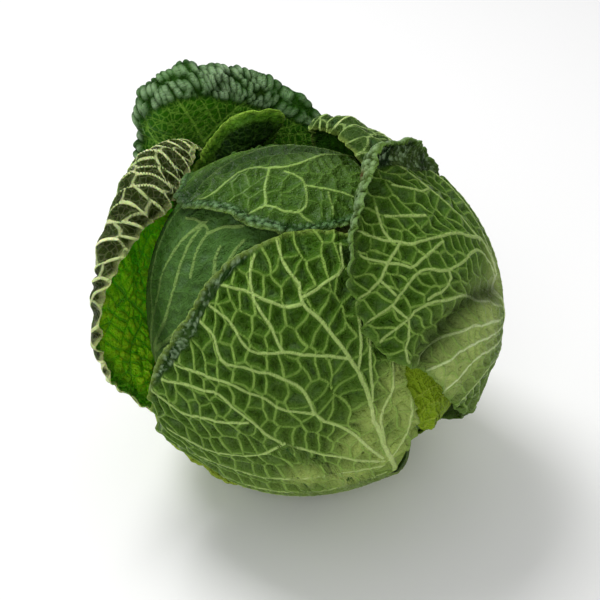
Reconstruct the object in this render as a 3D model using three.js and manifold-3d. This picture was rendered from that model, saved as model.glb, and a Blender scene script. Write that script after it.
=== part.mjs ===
// A savoy cabbage: a packed head, its cut stem, and the loose wrapper leaves around it.
// Millimetres, +Z up. The cabbage leans on its side, so its crown points up, left and forward.
import * as THREE from 'three';
import { mergeVertices } from 'three/addons/utils/BufferGeometryUtils.js';
import Module from 'manifold-3d';

const wasm = await Module();
wasm.setup();

// Driving dimensions of the packed head, measured from its centre.
const crownHeight = 88;
const stemHeight = 82;
const girthRadius = 72;
const girthSwell = 15; // the head is fuller on its front, lower side
const swellAzimuth = 280;
const crown = new THREE.Vector3(-0.3, -0.46, 0.835).normalize();

// Leaves.
const leafThickness = 1.1;
const bottomLeafThickness = 2.6;
const defaultRim = 8; // arc length of a leaf's free margin
const rimLimit = 0.6; // most of a leaf's reach that its rim may take
const settleShare = 1.6; // how late towards the margin a leaf leaves the head
const sectors = 30;
const stalkTaper = 3;
const stalkCrowding = 0.45; // sectors are closer together at the stalk
const defaultBladeRings = 5;
const curledRimRings = 3;

// Heart and stem.
const heartDepth = 14.8; // below the head's surface
const stemRadius = 14.5;
const stemTaper = 0.96;
const stemEnd = 93;
const stemGap = 0.5;
const restCut = 1.3; // depth of the small flat that the head rests on
const roundSegments = 24;
const heartRings = 14;

const degree = Math.PI / 180;
const right = new THREE.Vector3(1, 0, 0).addScaledVector(crown, -crown.x).normalize();
const back = new THREE.Vector3().crossVectors(crown, right);

// Direction from the head's centre: polar angle from the crown, azimuth around it, degrees.
function headDirection(polar, azimuth) {
  const across = Math.sin(polar * degree);
  return new THREE.Vector3()
    .addScaledVector(crown, Math.cos(polar * degree))
    .addScaledVector(right, across * Math.cos(azimuth * degree))
    .addScaledVector(back, across * Math.sin(azimuth * degree));
}

// Distance from the centre to the packed head's surface along a direction.
function headRadius(direction) {
  const up = direction.dot(crown);
  const across = Math.sqrt(Math.max(1 - up * up, 0));
  const azimuth = Math.atan2(direction.dot(back), direction.dot(right));
  const girth = girthRadius + girthSwell * Math.cos(azimuth - swellAzimuth * degree);
  const height = up > 0 ? crownHeight : stemHeight;
  return 1 / Math.hypot(up / height, across / girth);
}

// Smooth closed curve through values spaced evenly around a leaf, starting at its tip.
function around(values, angle) {
  const count = values.length;
  const turn = (angle / (2 * Math.PI)) * count;
  const place = ((turn % count) + count) % count;
  const first = Math.floor(place);
  const t = place - first;
  const [a, b, c, d] = [-1, 0, 1, 2].map((step) => values[(first + step + count) % count]);
  const square = 2 * a - 5 * b + 4 * c - d;
  const cube = 3 * b - a - 3 * c + d;
  return 0.5 * (2 * b + (c - a) * t + square * t ** 2 + cube * t ** 3);
}

// Angle from a leaf's middle to the margin of its blade, radians.
function bladeReach(leaf, angle) {
  return around(leaf.reach, angle) * degree;
}

// The same with the stalk, which reaches on towards the stem.
function marginReach(leaf, angle) {
  const blade = bladeReach(leaf, angle);
  if (!leaf.stalk) return blade;
  const offset = angle - leaf.stalk.toward * degree;
  const turned = Math.atan2(Math.sin(offset), Math.cos(offset));
  const taper = Math.exp(-(Math.abs(turned / (leaf.stalk.width * degree)) ** stalkTaper));
  return blade + Math.max(leaf.stalk.reach * degree - blade, 0) * taper;
}

// Axes of a leaf at its middle: outward, towards its tip, and to its right seen from outside.
function leafAxes(leaf) {
  const out = headDirection(...leaf.at);
  const tip = crown.clone().addScaledVector(out, -crown.dot(out)).normalize();
  return { out, tip, side: new THREE.Vector3().crossVectors(tip, out) };
}

// A point of the leaf before its rim curls.
function sheetPoint(leaf, axes, distance, angle) {
  const direction = new THREE.Vector3()
    .addScaledVector(axes.out, Math.cos(distance))
    .addScaledVector(axes.side, Math.sin(distance) * Math.sin(angle))
    .addScaledVector(axes.tip, Math.sin(distance) * Math.cos(angle));
  const share = Math.min(distance / bladeReach(leaf, angle), 1) ** settleShare;
  const lift = leaf.lift + (around(leaf.edgeLift, angle) - leaf.lift) * share;
  return direction.multiplyScalar(headRadius(direction) + lift);
}

// A function from a place on the leaf to its point and outward normal. bladeShare runs from the
// middle to the rim's start and rimShare across the rim, which rolls outward or inward as an arc.
function leafSurface(leaf) {
  const axes = leafAxes(leaf);
  const small = 1e-3;
  const offCentre = 0.02; // at the very middle, directions around it all meet
  return (bladeShare, rimShare, angle) => {
    const reach = marginReach(leaf, angle);
    const rim = Math.min((leaf.rim ? around(leaf.rim, angle) : defaultRim) / crownHeight, rimLimit * reach);
    const start = reach - rim;
    const at = (distance, turned) => sheetPoint(leaf, axes, distance, turned);
    const distance = start * bladeShare;
    const point = at(distance, angle);
    const outward = at(distance + small, angle).sub(point);
    const stretch = outward.length() / small;
    outward.normalize();
    const aside = Math.max(distance, offCentre);
    const along = at(aside, angle + small).sub(at(aside, angle));
    const normal = new THREE.Vector3().crossVectors(outward, along).normalize();
    if (normal.dot(point) < 0) normal.negate();
    if (rimShare > 0) {
      const turn = (leaf.curl ? around(leaf.curl, angle) : 0) * degree;
      const bend = (Math.abs(turn) < small ? small : turn) / (rim * stretch);
      const phase = bend * rim * stretch * rimShare;
      point.addScaledVector(outward, Math.sin(phase) / bend);
      point.addScaledVector(normal, (1 - Math.cos(phase)) / bend);
      normal.multiplyScalar(Math.cos(phase)).addScaledVector(outward, -Math.sin(phase));
    }
    return { point, normal };
  };
}

// A leaf as a closed solid of even thickness, rings by sectors on each face.
function leafGeometry(leaf) {
  const surface = leafSurface(leaf);
  const half = (leaf.thickness ?? leafThickness) / 2;
  const bladeRings = leaf.bladeRings ?? defaultBladeRings;
  const rimRings = leaf.curl ? curledRimRings : 1;
  const rings = bladeRings + rimRings;
  const positions = [];
  const indices = [];
  for (const side of [half, -half]) {
    const middle = surface(0, 0, 0);
    positions.push(...middle.point.addScaledVector(leafAxes(leaf).out, side).toArray());
    for (let ring = 1; ring <= rings; ring += 1) {
      const bladeShare = Math.min(ring / bladeRings, 1);
      const rimShare = Math.max(ring - bladeRings, 0) / rimRings;
      for (let sector = 0; sector < sectors; sector += 1) {
        const even = (2 * Math.PI * sector) / sectors;
        const angle = even + (leaf.stalk ? stalkCrowding : 0) * Math.sin(even);
        const { point, normal } = surface(bladeShare, rimShare, angle);
        positions.push(...point.addScaledVector(normal, side).toArray());
      }
    }
  }
  const faceSize = 1 + rings * sectors;
  const vertex = (face, ring, sector) =>
    face * faceSize + (ring === 0 ? 0 : 1 + (ring - 1) * sectors + (sector % sectors));
  const addTriangle = (face, a, b, c) => indices.push(...(face === 0 ? [a, b, c] : [a, c, b]));
  for (const face of [0, 1]) {
    for (let sector = 0; sector < sectors; sector += 1) {
      addTriangle(face, vertex(face, 0, 0), vertex(face, 1, sector + 1), vertex(face, 1, sector));
      for (let ring = 1; ring < rings; ring += 1) {
        const corners = [
          vertex(face, ring, sector),
          vertex(face, ring, sector + 1),
          vertex(face, ring + 1, sector + 1),
          vertex(face, ring + 1, sector),
        ];
        addTriangle(face, corners[0], corners[1], corners[2]);
        addTriangle(face, corners[0], corners[2], corners[3]);
      }
    }
  }
  for (let sector = 0; sector < sectors; sector += 1) {
    const outer = [vertex(0, rings, sector), vertex(0, rings, sector + 1)];
    const inner = [vertex(1, rings, sector), vertex(1, rings, sector + 1)];
    indices.push(outer[0], outer[1], inner[1], outer[0], inner[1], inner[0]);
  }
  const geometry = new THREE.BufferGeometry();
  geometry.setAttribute('position', new THREE.Float32BufferAttribute(positions, 3));
  geometry.setIndex(indices);
  return geometry;
}

// The tightly packed inner leaves as one solid.
function heartGeometry() {
  const geometry = new THREE.SphereGeometry(1, roundSegments, heartRings);
  const position = geometry.attributes.position;
  const direction = new THREE.Vector3();
  for (let i = 0; i < position.count; i += 1) {
    direction.fromBufferAttribute(position, i).normalize();
    direction.multiplyScalar(headRadius(direction) - heartDepth);
    position.setXYZ(i, direction.x, direction.y, direction.z);
  }
  return geometry;
}

// The stem, cut off square just below the leaf bases.
function stemGeometry() {
  const start = stemHeight - heartDepth + stemGap;
  const endRadius = stemRadius * stemTaper;
  const geometry = new THREE.CylinderGeometry(stemRadius, endRadius, stemEnd - start, roundSegments);
  geometry.rotateX(-Math.PI / 2);
  geometry.translate(0, 0, -(start + stemEnd) / 2);
  const turn = new THREE.Quaternion().setFromUnitVectors(new THREE.Vector3(0, 0, 1), crown);
  return geometry.applyQuaternion(turn);
}

function toSolid(geometry) {
  const bare = geometry.clone();
  bare.deleteAttribute('normal');
  bare.deleteAttribute('uv');
  const merged = mergeVertices(bare);
  return new wasm.Manifold(new wasm.Mesh({
    numProp: 3,
    vertProperties: new Float32Array(merged.attributes.position.array),
    triVerts: new Uint32Array(merged.index.array),
  }));
}

function fromSolid(solid) {
  const mesh = solid.getMesh();
  const geometry = new THREE.BufferGeometry();
  geometry.setAttribute('position', new THREE.Float32BufferAttribute(mesh.vertProperties, 3));
  geometry.setIndex([...mesh.triVerts]);
  return geometry;
}

// Slices off whatever lies below a level, so that the head has a flat to rest on.
function cutBelow(geometry, level) {
  const blockSize = 4 * stemEnd;
  const block = new THREE.BoxGeometry(blockSize, blockSize, blockSize);
  block.translate(0, 0, level - blockSize / 2);
  return fromSolid(toSolid(geometry).subtract(toSolid(block)));
}

// Reach, lifts, rim and curl run from the tip to the right, as seen from outside the head.
// Reach is in degrees from the leaf's middle; lift is in millimetres off the packed head.
const leaves = [
  {
    name: 'heart_leaf_front', colour: 0xb7c777, at: [58, 265], lift: -11.7,
    reach: [66, 62, 60, 58, 62, 70, 76, 70, 62, 58, 60, 62],
    edgeLift: [-11.7],
  },
  {
    name: 'heart_leaf_back', colour: 0xb3c573, at: [58, 85], lift: -8.5,
    reach: [66, 62, 60, 58, 62, 70, 76, 70, 62, 58, 60, 62],
    edgeLift: [-8.5],
  },
  {
    name: 'heart_leaf_right', colour: 0xaec06c, at: [60, 350], lift: -5.9,
    reach: [60, 58, 58, 58, 62, 70, 76, 70, 62, 58, 58, 58],
    edgeLift: [-5.9],
  },
  {
    name: 'heart_leaf_left', colour: 0xa4b966, at: [60, 170], lift: -3.4,
    reach: [60, 58, 58, 58, 62, 70, 76, 70, 62, 58, 58, 58],
    edgeLift: [-3.4],
  },
  {
    name: 'inner_left_leaf', colour: 0x7f9e6a, at: [52, 208], lift: 0,
    reach: [76, 70, 60, 55, 55, 50, 45, 50, 55, 52, 50, 62],
    edgeLift: [0],
  },
  {
    name: 'under_leaf', colour: 0x9fb56c, at: [112, 290], lift: 3,
    reach: [44, 46, 48, 50, 46, 44, 44, 44, 46, 50, 48, 46],
    edgeLift: [2.7],
  },
  {
    name: 'inner_back_leaf', colour: 0x2f5a22, at: [66, 110], lift: 3.6,
    reach: [24, 28, 34, 50, 55, 55, 55, 55, 50, 46, 32, 25],
    edgeLift: [3.5, 3.5, 3.3, 3.2, 3.2, 3.4, 3.5, 3.5],
  },
  {
    name: 'rear_leaf', colour: 0x8fae5e, at: [98, 30], lift: 5.6,
    reach: [22, 26, 36, 46, 50, 50, 56, 50, 50, 46, 36, 26],
    edgeLift: [5.3],
    stalk: { toward: 180, reach: 71, width: 24 },
  },
  {
    name: 'crown_leaf', colour: 0x5f8f3a, at: [32, 62], lift: 1.8,
    reach: [38, 42, 38, 32, 32, 36, 38, 38, 38, 38, 39, 41],
    edgeLift: [5.5, 5, 1.5, 1.6, 1.7, 1.7, 4.5, 5.5],
  },
  {
    name: 'upright_back_leaf', colour: 0x3f7a22, at: [70, 122], lift: 8,
    reach: [13, 13, 18, 26, 42, 46, 50, 46, 35, 26, 34.5, 17.5],
    edgeLift: [18, 13.5, 9, 6.5, 6.5, 7, 17, 25],
    rim: [4],
  },
  {
    name: 'left_wrapper_leaf', colour: 0x4c7f20, at: [85, 182], lift: 9.5,
    reach: [50, 42, 38.5, 43, 50, 50, 50, 50, 52, 59, 64.5, 66],
    edgeLift: [33, 30, 11, 8, 8.5, 10, 20, 44],
    rim: [18, 7, 6, 8, 8, 8, 8, 8, 8, 12, 20.5, 33],
    curl: [-120, -60, -45, -20, 0, 0, 0, 0, -20, -60, -105, -150],
    stalk: { toward: 180, reach: 84, width: 24 },
  },
  {
    name: 'back_right_leaf', colour: 0x4a7738, at: [78, 55], lift: 17.5,
    reach: [31, 30, 26, 26, 35, 44, 50, 50, 48, 46, 44, 48],
    edgeLift: [20, 24, 25, 20, 16, 14, 14, 12],
    rim: [13, 13, 10, 8, 8, 8, 8, 8],
    curl: [-110, -110, -60, 0, 0, 0, -20, -60],
    stalk: { toward: 180, reach: 91, width: 26 },
  },
  {
    name: 'spread_back_leaf', colour: 0x2f5a3a, at: [80, 118], lift: 28,
    reach: [32, 29.5, 25, 29, 42, 50, 50, 50, 44, 33, 29, 29.5],
    edgeLift: [54, 50, 36, 25, 20, 26, 41, 49],
    rim: [20],
    curl: [110, 90, 40, 0, 0, 0, 40, 90],
    stalk: { toward: 180, reach: 89, width: 24 },
  },
  {
    name: 'lower_right_leaf', colour: 0x9bbf2f, at: [88, 317], lift: 7.5,
    reach: [24, 24, 26, 26, 24, 24, 22, 17, 13, 11, 12, 18],
    edgeLift: [8, 8, 8, 7.5, 7.7, 8.4, 9.2, 8],
    rim: [4],
    stalk: { toward: 180, reach: 81, width: 15 },
    bladeRings: 9,
  },
  {
    name: 'front_wrapper_leaf', colour: 0x7fa53f, at: [62, 272], lift: 15,
    reach: [44, 53, 55, 36, 39.5, 41, 56, 55, 48, 38, 34, 35],
    edgeLift: [8.5, 8.5, 11, 15.4, 12.4, 12.2, 18, 11],
    rim: [6],
    curl: [60, 0, 0, 0, 0, 0, 0, 0, 0, 0, 60, 100],
    stalk: { toward: 170, reach: 105, width: 13 },
    bladeRings: 10,
  },
  {
    name: 'bottom_leaf', colour: 0x8aa84e, at: [125, 222], lift: 15.8,
    thickness: bottomLeafThickness,
    reach: [26, 23, 23, 27, 32, 36, 40, 44, 44, 44, 40, 32],
    edgeLift: [17.5, 17, 16.5, 16.3, 15.5, 14.5, 14.5, 15.8],
    stalk: { toward: 180, reach: 44, width: 28 },
  },
  {
    name: 'right_wrapper_leaf', colour: 0x86ab4c, at: [68, 345], lift: 20.5,
    reach: [41, 45.5, 42, 44, 53, 60, 60, 48, 34.5, 28, 34, 38],
    edgeLift: [11, 11.5, 16.5, 18.7, 18.8, 18.4, 18.8, 14],
    rim: [14, 18, 9, 6, 6, 6, 6, 9],
    curl: [130, 150, 70, 0, 0, 0, 0, 40],
    stalk: { toward: 180, reach: 101, width: 20 },
  },
];

function addPiece(cabbage, name, geometry, colour, roughness) {
  const material = new THREE.MeshStandardMaterial({ color: colour, roughness, metalness: 0 });
  const mesh = new THREE.Mesh(geometry, material);
  mesh.name = name;
  cabbage.add(mesh);
}

const pieces = leaves.map((leaf) => ({
  name: leaf.name,
  colour: leaf.colour,
  geometry: leafGeometry(leaf),
}));
const lowest = Math.min(...pieces.map(({ geometry }) => {
  geometry.computeBoundingBox();
  return geometry.boundingBox.min.z;
}));

const cabbage = new THREE.Group();
addPiece(cabbage, 'packed_heart', heartGeometry(), 0xb9c978, 0.6);
addPiece(cabbage, 'cut_stem', stemGeometry(), 0xc9cf95, 0.7);
for (const piece of pieces) {
  const touchesDown = piece.geometry.boundingBox.min.z < lowest + restCut;
  const geometry = touchesDown ? cutBelow(piece.geometry, lowest + restCut) : piece.geometry;
  addPiece(cabbage, piece.name, geometry, piece.colour, 0.5);
}

// The origin is the middle of the bounding box, at the level of the flat.
const box = new THREE.Box3().setFromObject(cabbage);
const middle = box.getCenter(new THREE.Vector3());
cabbage.position.set(-middle.x, -middle.y, -box.min.z);

export default cabbage;
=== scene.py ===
import bpy
import math
import numpy as np
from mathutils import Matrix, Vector


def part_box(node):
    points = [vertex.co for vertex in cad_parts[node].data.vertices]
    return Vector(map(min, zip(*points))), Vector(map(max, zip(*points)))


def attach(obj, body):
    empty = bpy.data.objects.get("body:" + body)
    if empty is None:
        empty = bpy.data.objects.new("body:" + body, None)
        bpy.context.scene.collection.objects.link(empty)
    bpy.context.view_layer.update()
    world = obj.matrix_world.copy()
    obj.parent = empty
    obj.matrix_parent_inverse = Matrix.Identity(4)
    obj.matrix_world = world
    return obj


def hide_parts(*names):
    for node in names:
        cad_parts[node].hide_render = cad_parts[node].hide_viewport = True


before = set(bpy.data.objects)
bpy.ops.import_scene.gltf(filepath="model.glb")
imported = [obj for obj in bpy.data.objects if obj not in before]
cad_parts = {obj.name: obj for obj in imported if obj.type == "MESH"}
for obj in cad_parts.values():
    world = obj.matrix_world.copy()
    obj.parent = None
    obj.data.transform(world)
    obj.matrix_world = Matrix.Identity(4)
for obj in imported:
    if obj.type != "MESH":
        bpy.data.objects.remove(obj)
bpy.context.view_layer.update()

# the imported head
# lengths in the leaf code are millimetres from the head's centre, angles are degrees

head = {
    "crown": (-0.3, -0.46, 0.835),  # the way the crown points: up, forward and a little left
    "crownHeight": 88,  # from the centre to the crown
    "stemHeight": 82,  # from the centre to the foot
    "girth": 72,  # mean radius across the axis
    "girthSwell": 15,  # how much more it is on the swollen side, and less on the other
    "swellAzimuth": 280,
    "heartDepth": 14.8,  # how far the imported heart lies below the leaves' base
}
arcLength = head["crownHeight"]  # millimetres of leaf to a radian
degreeLength = math.radians(arcLength)
crown = np.array(head["crown"]) / np.linalg.norm(head["crown"])
right = np.array([1.0, 0, 0]) - crown[0] * crown
right /= np.linalg.norm(right)
back = np.cross(crown, right)


def headDirection(polar, azimuth):
    polar, azimuth = np.radians(polar), np.radians(azimuth)
    return np.cos(polar) * crown + np.sin(polar) * (np.cos(azimuth) * right + np.sin(azimuth) * back)


def headRadius(direction):
    up = direction @ crown
    across = np.sqrt(np.clip(1 - up * up, 1e-9, 1))
    azimuth = np.arctan2(direction @ back, direction @ right)
    girth = head["girth"] + head["girthSwell"] * np.cos(azimuth - math.radians(head["swellAzimuth"]))
    height = np.where(up > 0, head["crownHeight"], head["stemHeight"])
    return 1 / np.hypot(up / height, across / girth)


def ball(rings, segments):
    polar, azimuth = np.meshgrid(np.linspace(0, 180, rings), np.linspace(0, 360, segments), indexing="ij")
    return headDirection(polar[..., None], azimuth[..., None])


def placeHead():
    # scale and centre of the head in the frame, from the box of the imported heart
    low, high = (np.array(c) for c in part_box("packed_heart"))
    directions = ball(181, 361)
    points = directions * (headRadius(directions) - head["heartDepth"])[..., None]
    shapeLow, shapeHigh = points.min((0, 1)), points.max((0, 1))
    size = (high - low)[2] / (shapeHigh - shapeLow)[2]
    return size, (low + high) / 2 - size * (shapeLow + shapeHigh) / 2


unit, headCentre = placeHead()
print("head centre", headCentre, "metres per millimetre", unit)

# leaf shapes
# lists such as reach run round a leaf from its tip to its right, seen from outside the head

defaultLeaf = {
    "flare": 1.6,  # above 1, more of the lift from middle to margin comes near the margin
    "rim": [8],  # how many millimetres of blade beside the margin roll, by curl degrees
    "curl": [0],
    "jag": 0.018,  # unevenness of the margin, as a share of the reach
    "thickness": 0.8,
    "cell": 9,  # size of the blisters between the veins
    "slim": 0.6,  # thins the veins
    "veins": [],  # each (width at its start, width at its end, points)
    "foldsAndShades": [],  # each (depth, width, points); a fold also darkens its crease with painted shade, and one of depth 0 is only a painted shade line
    "paleSpots": [],  # each (x, y, size), and the scars too
    "scars": [],
    "relief": {},
    "innerStep": 2,  # squares of the outer face to one of the inner face
}
rimShare = 0.6  # most of the reach that the rolled rim may take
probe = 1e-3  # radians, to measure the slope of a sheet
nearMiddle = 0.02  # radians: a leaf's middle has no slope round it, so it's measured from here out


def spline(a, b, c, d, t):
    # from b to c on a smooth curve that comes from a and goes on to d
    return 0.5 * (2 * b + (c - a) * t + (2 * a - 5 * b + 4 * c - d) * t**2 + (3 * b - a - 3 * c + d) * t**3)


def around(values, angle):
    # smooth closed curve through values spaced evenly round a leaf
    values = np.asarray(values, float)
    place = angle / (2 * np.pi) * len(values) % len(values)
    first = np.floor(place).astype(int)
    return spline(*(values[(first + step) % len(values)] for step in (-1, 0, 1, 2)), place - first)


def smoothStep(low, high, value):
    t = np.clip((value - low) / (high - low), 0, 1)
    return t * t * (3 - 2 * t)


def fade(distance, reach):
    return np.exp(-((distance / reach) ** 2))


def waves(angle, counts, seed):
    # a repeatable wavy line round a closed loop
    phases = np.random.default_rng(seed).uniform(0, 2 * np.pi, len(counts))
    return sum(np.sin(n * angle + phase) for n, phase in zip(counts, phases)) / len(counts)


def bladeReach(leaf, angle):
    return np.radians(around(leaf["reach"], angle))


def marginReach(leaf, angle):
    # the blade's reach, drawn out to the foot of the stalk
    blade = bladeReach(leaf, angle)
    if "stalk" not in leaf:
        return blade
    toward, reach, width = np.radians(leaf["stalk"])
    turned = np.angle(np.exp(1j * (angle - toward)))
    taper = np.exp(-np.abs(turned / width) ** 3)
    return blade + np.maximum(reach - blade, 0) * taper


def leafAxes(leaf):
    out = headDirection(*leaf["at"])
    tip = crown - (crown @ out) * out
    tip /= np.linalg.norm(tip)
    return out, tip, np.cross(tip, out)


def sheetPoint(leaf, distance, angle):
    out, tip, side = leafAxes(leaf)
    distance, angle = distance[..., None], angle[..., None]
    direction = np.cos(distance) * out + np.sin(distance) * (np.sin(angle) * side + np.cos(angle) * tip)
    share = np.minimum(distance / bladeReach(leaf, angle), 1)[..., 0] ** leaf["flare"]
    lift = leaf["lift"] + (around(leaf["edgeLift"], angle[..., 0]) - leaf["lift"]) * share
    return direction * (headRadius(direction) + lift)[..., None]


def unitVectors(vectors):
    return vectors / np.maximum(np.linalg.norm(vectors, axis=-1, keepdims=True), 1e-12)


def leafSheet(leaf, rho, angle):
    # middle of the leaf at rho, 0 in the middle to 1 on the margin, with its rim rolled
    reach = marginReach(leaf, angle)
    rim = np.minimum(around(leaf["rim"], angle) / arcLength, rimShare * reach)
    start = reach - rim
    distance = rho * reach
    flat = np.minimum(distance, start)
    point = sheetPoint(leaf, flat, angle)
    outward = sheetPoint(leaf, flat + probe, angle) - point
    stretch = np.linalg.norm(outward, axis=-1) / probe
    outward = unitVectors(outward)
    aside = np.maximum(flat, nearMiddle)
    along = sheetPoint(leaf, aside, angle + probe) - sheetPoint(leaf, aside, angle)
    normal = unitVectors(np.cross(outward, along))
    normal *= np.sign(np.sum(normal * point, -1))[..., None]
    turn = np.radians(around(leaf["curl"], angle))
    bend = np.where(np.abs(turn) < probe, probe, turn) / (rim * stretch)
    phase = bend * np.maximum(distance - start, 0) * stretch
    onward, away = np.sin(phase) / bend, (1 - np.cos(phase)) / bend
    return point + onward[..., None] * outward + away[..., None] * normal


# veins
# drawn on the leaf laid flat: x to its right and y to its tip, millimetres from its middle

fanHabit = {
    "tipShare": 0.93,  # how far up the blade the midrib runs
    "bends": ((0.4, 4), (0.7, 2)),  # shares of its length, and millimetres that it bows there
    "midribEnd": 0.9,  # width at its tip
    "lastPair": 0.86,  # place of the last side vein, as a share of the midrib
    "pairJitter": 0.6,
    "angleJitter": 6,
    "lengthJitter": (0.9, 1.1),
    "shorten": 0.45,  # how much shorter a side vein would be at the midrib's tip
    "stride": 9,  # millimetres between the bends of a side vein
    "wander": 16,  # degrees that a bend may stray
    "sideWidth": 0.62,  # width of a side vein at the foot, as a share of the midrib's
    "sideThin": 0.3,  # and how much less at the tip
    "sideEnd": 0.8,
    "forkAngles": (-45, 40),
    "forkLength": (10, 20),
    "forkWidth": 0.55,  # as a share of the side vein's
    "forkEnds": (0.9, 0.7),  # least width at its start, and width at its end
}
veinWander = 0.28  # millimetres that a drawn vein strays from one step to the next
veinStep = 3  # millimetres between the points of a vein
foldStep = 2
spanPoints = 12  # points worked out between two given ones
veinLeast = (0.6, 0.45)  # least width at a vein's start and at its end
cellHabit = {
    "stretch": 1.45,  # how much longer a blister is along the fan than across it
    "alongVein": 0.85,  # spacing beside a vein, in blisters
    "besideVein": (0.32, 0.42),  # distance from the vein, in blisters
    "closest": 0.5,  # least distance between two beside veins, in blisters
    "spacing": 0.82,  # the same for those that fill the rest
    "tries": 22,
    "spare": 12,  # millimetres beyond the blade that are filled too
    "shift": 0.15,  # moves the filled patch toward the foot
}
chunk = 4000  # points worked on at a time, to save memory


def stalkFoot(leaf):
    if "stalk" not in leaf:
        return np.array([0.0, -float(bladeReach(leaf, np.pi))]) * arcLength
    toward, reach = np.radians(leaf["stalk"][:2])
    return reach * arcLength * np.array([np.sin(toward), np.cos(toward)])


def smoothLine(points, step=veinStep):
    # a curve through a few points, resampled at even steps
    points = np.asarray(points, float)
    padded = np.vstack([2 * points[0] - points[1], points, 2 * points[-1] - points[-2]])
    t = np.linspace(0, 1, spanPoints, endpoint=False)[:, None]
    runs = [spline(*four, t) for four in zip(padded, padded[1:], padded[2:], padded[3:])]
    line = np.vstack(runs + [points[-1:]])
    length = np.concatenate([[0], np.cumsum(np.linalg.norm(np.diff(line, axis=0), axis=1))])
    even = np.linspace(0, length[-1], max(int(length[-1] / step), 2) + 1)
    return np.column_stack([np.interp(even, length, line[:, k]) for k in (0, 1)])


def midribLine(leaf):
    foot = stalkFoot(leaf)
    tip = np.array([0, around(leaf["reach"], np.zeros(1))[0] * degreeLength * fanHabit["tipShare"]])
    middle = [foot * (1 - share) + tip * share + (bow, 0) for share, bow in fanHabit["bends"]]
    return smoothLine([foot, *middle, tip])


def sideVein(start, heading, side, length, curve, rng):
    # bends away from the midrib, and gives the places and headings of its forks
    point = start.copy()
    points, forks = [start], []
    for turn in range(int(length / fanHabit["stride"])):
        stray = rng.uniform(-fanHabit["wander"], fanHabit["wander"])
        heading += side * math.radians(curve) + math.radians(stray)
        point = point + fanHabit["stride"] * np.array([math.cos(heading), math.sin(heading)])
        points.append(point)
        if turn % 2 == 1:
            forks.append((point, heading + side * math.radians(rng.choice(fanHabit["forkAngles"]))))
    return smoothLine(points), forks


def fanVeins(leaf, rng):
    # midrib from the stalk's foot to the tip, with side veins that arc away from it and fork
    plan, habit = leaf["fan"], fanHabit
    midrib = midribLine(leaf)
    veins = [(plan["width"], habit["midribEnd"], midrib)]
    count = plan["pairs"] * 2
    for k in range(count):
        side = -1 if k % 2 else 1
        span = habit["lastPair"] - plan["first"]
        share = plan["first"] + span * (k + habit["pairJitter"] * rng.random()) / count
        at = int(share * (len(midrib) - 1))
        ahead = midrib[min(at + 1, len(midrib) - 1)] - midrib[at - 1]
        angle = plan["angle"] + rng.uniform(-habit["angleJitter"], habit["angleJitter"])
        heading = math.atan2(ahead[1], ahead[0]) - side * math.radians(angle)
        length = plan["length"] * (1 - habit["shorten"] * share) * rng.uniform(*habit["lengthJitter"])
        line, forks = sideVein(midrib[at], heading, side, length, plan["curve"], rng)
        width = plan["width"] * (habit["sideWidth"] - habit["sideThin"] * share)
        veins.append((width, habit["sideEnd"], line))
        for start, away in forks:
            reach = rng.uniform(*habit["forkLength"])
            end = start + reach * np.array([math.cos(away), math.sin(away)])
            least, tip = habit["forkEnds"]
            veins.append((max(width * habit["forkWidth"], least), tip, smoothLine([start, end])))
    return veins


def mainVeins(leaf, rng):
    veins = fanVeins(leaf, rng) if "fan" in leaf else []
    for start, end, points in leaf["veins"]:
        line = smoothLine(points)
        wiggle = np.cumsum(rng.normal(0, veinWander, line.shape), axis=0)
        ends = np.sin(np.linspace(0, np.pi, len(line)))[:, None]
        veins.append((start, end, line + wiggle * ends))
    slim, (leastStart, leastEnd) = leaf["slim"], veinLeast
    return [(max(start * slim, leastStart), max(end * slim, leastEnd), line) for start, end, line in veins]


def veinDistance(veins, place):
    # distance to the nearest vein's edge, below 0 inside it, and half that vein's width
    starts = np.vstack([line[:-1] for _, _, line in veins])
    ends = np.vstack([line[1:] for _, _, line in veins])
    halves = np.concatenate([np.linspace(a, b, len(line))[:-1] / 2 for a, b, line in veins])
    run = ends - starts
    size = np.sum(run * run, axis=1)
    best = np.empty(len(place))
    half = np.empty(len(place))
    for k in range(0, len(place), chunk):
        offset = place[k : k + chunk, None] - starts
        t = np.clip(np.sum(offset * run, -1) / size, 0, 1)
        gap = np.linalg.norm(offset - t[..., None] * run, axis=-1) - halves
        nearest = np.argmin(gap, axis=1)
        best[k : k + chunk] = gap[np.arange(len(nearest)), nearest]
        half[k : k + chunk] = halves[nearest]
    return best, half


def stretched(offset, place, foot):
    # distance in which blisters come out longer along the fan than across it
    along = unitVectors(place - foot)
    down = np.sum(offset * along, -1)
    across = offset[..., 0] * -along[..., 1] + offset[..., 1] * along[..., 0]
    return np.hypot(down / cellHabit["stretch"], across)


def cellSeeds(leaf, veins, foot, rng):
    # middles mirrored across the veins keep blister walls on them, and the rest fills in evenly
    size, habit = leaf["cell"], cellHabit
    seeds = []
    for width, _, line in veins:
        run = unitVectors(np.diff(line, axis=0))
        steps = max(int(size * habit["alongVein"] / veinStep), 1)
        for k in range(steps // 2, len(run), steps):
            across = np.array([-run[k][1], run[k][0]])
            gap = width / 2 + size * rng.uniform(*habit["besideVein"])
            seeds += [line[k] + gap * across, line[k] - gap * across]
    kept = np.array(seeds[:1])
    for seed in seeds[1:]:
        if np.min(np.linalg.norm(kept - seed, axis=1)) > size * habit["closest"]:
            kept = np.vstack([kept, seed])
    extent = float(np.max(leaf["reach"])) * degreeLength + habit["spare"]
    tries = rng.uniform(-extent, extent, (int(habit["tries"] * (extent / size) ** 2), 2))
    tries[:, 1] += habit["shift"] * foot[1]
    for seed in tries:
        if np.min(stretched(seed - kept, seed, foot)) > size * habit["spacing"]:
            kept = np.vstack([kept, seed])
    return kept


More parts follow.
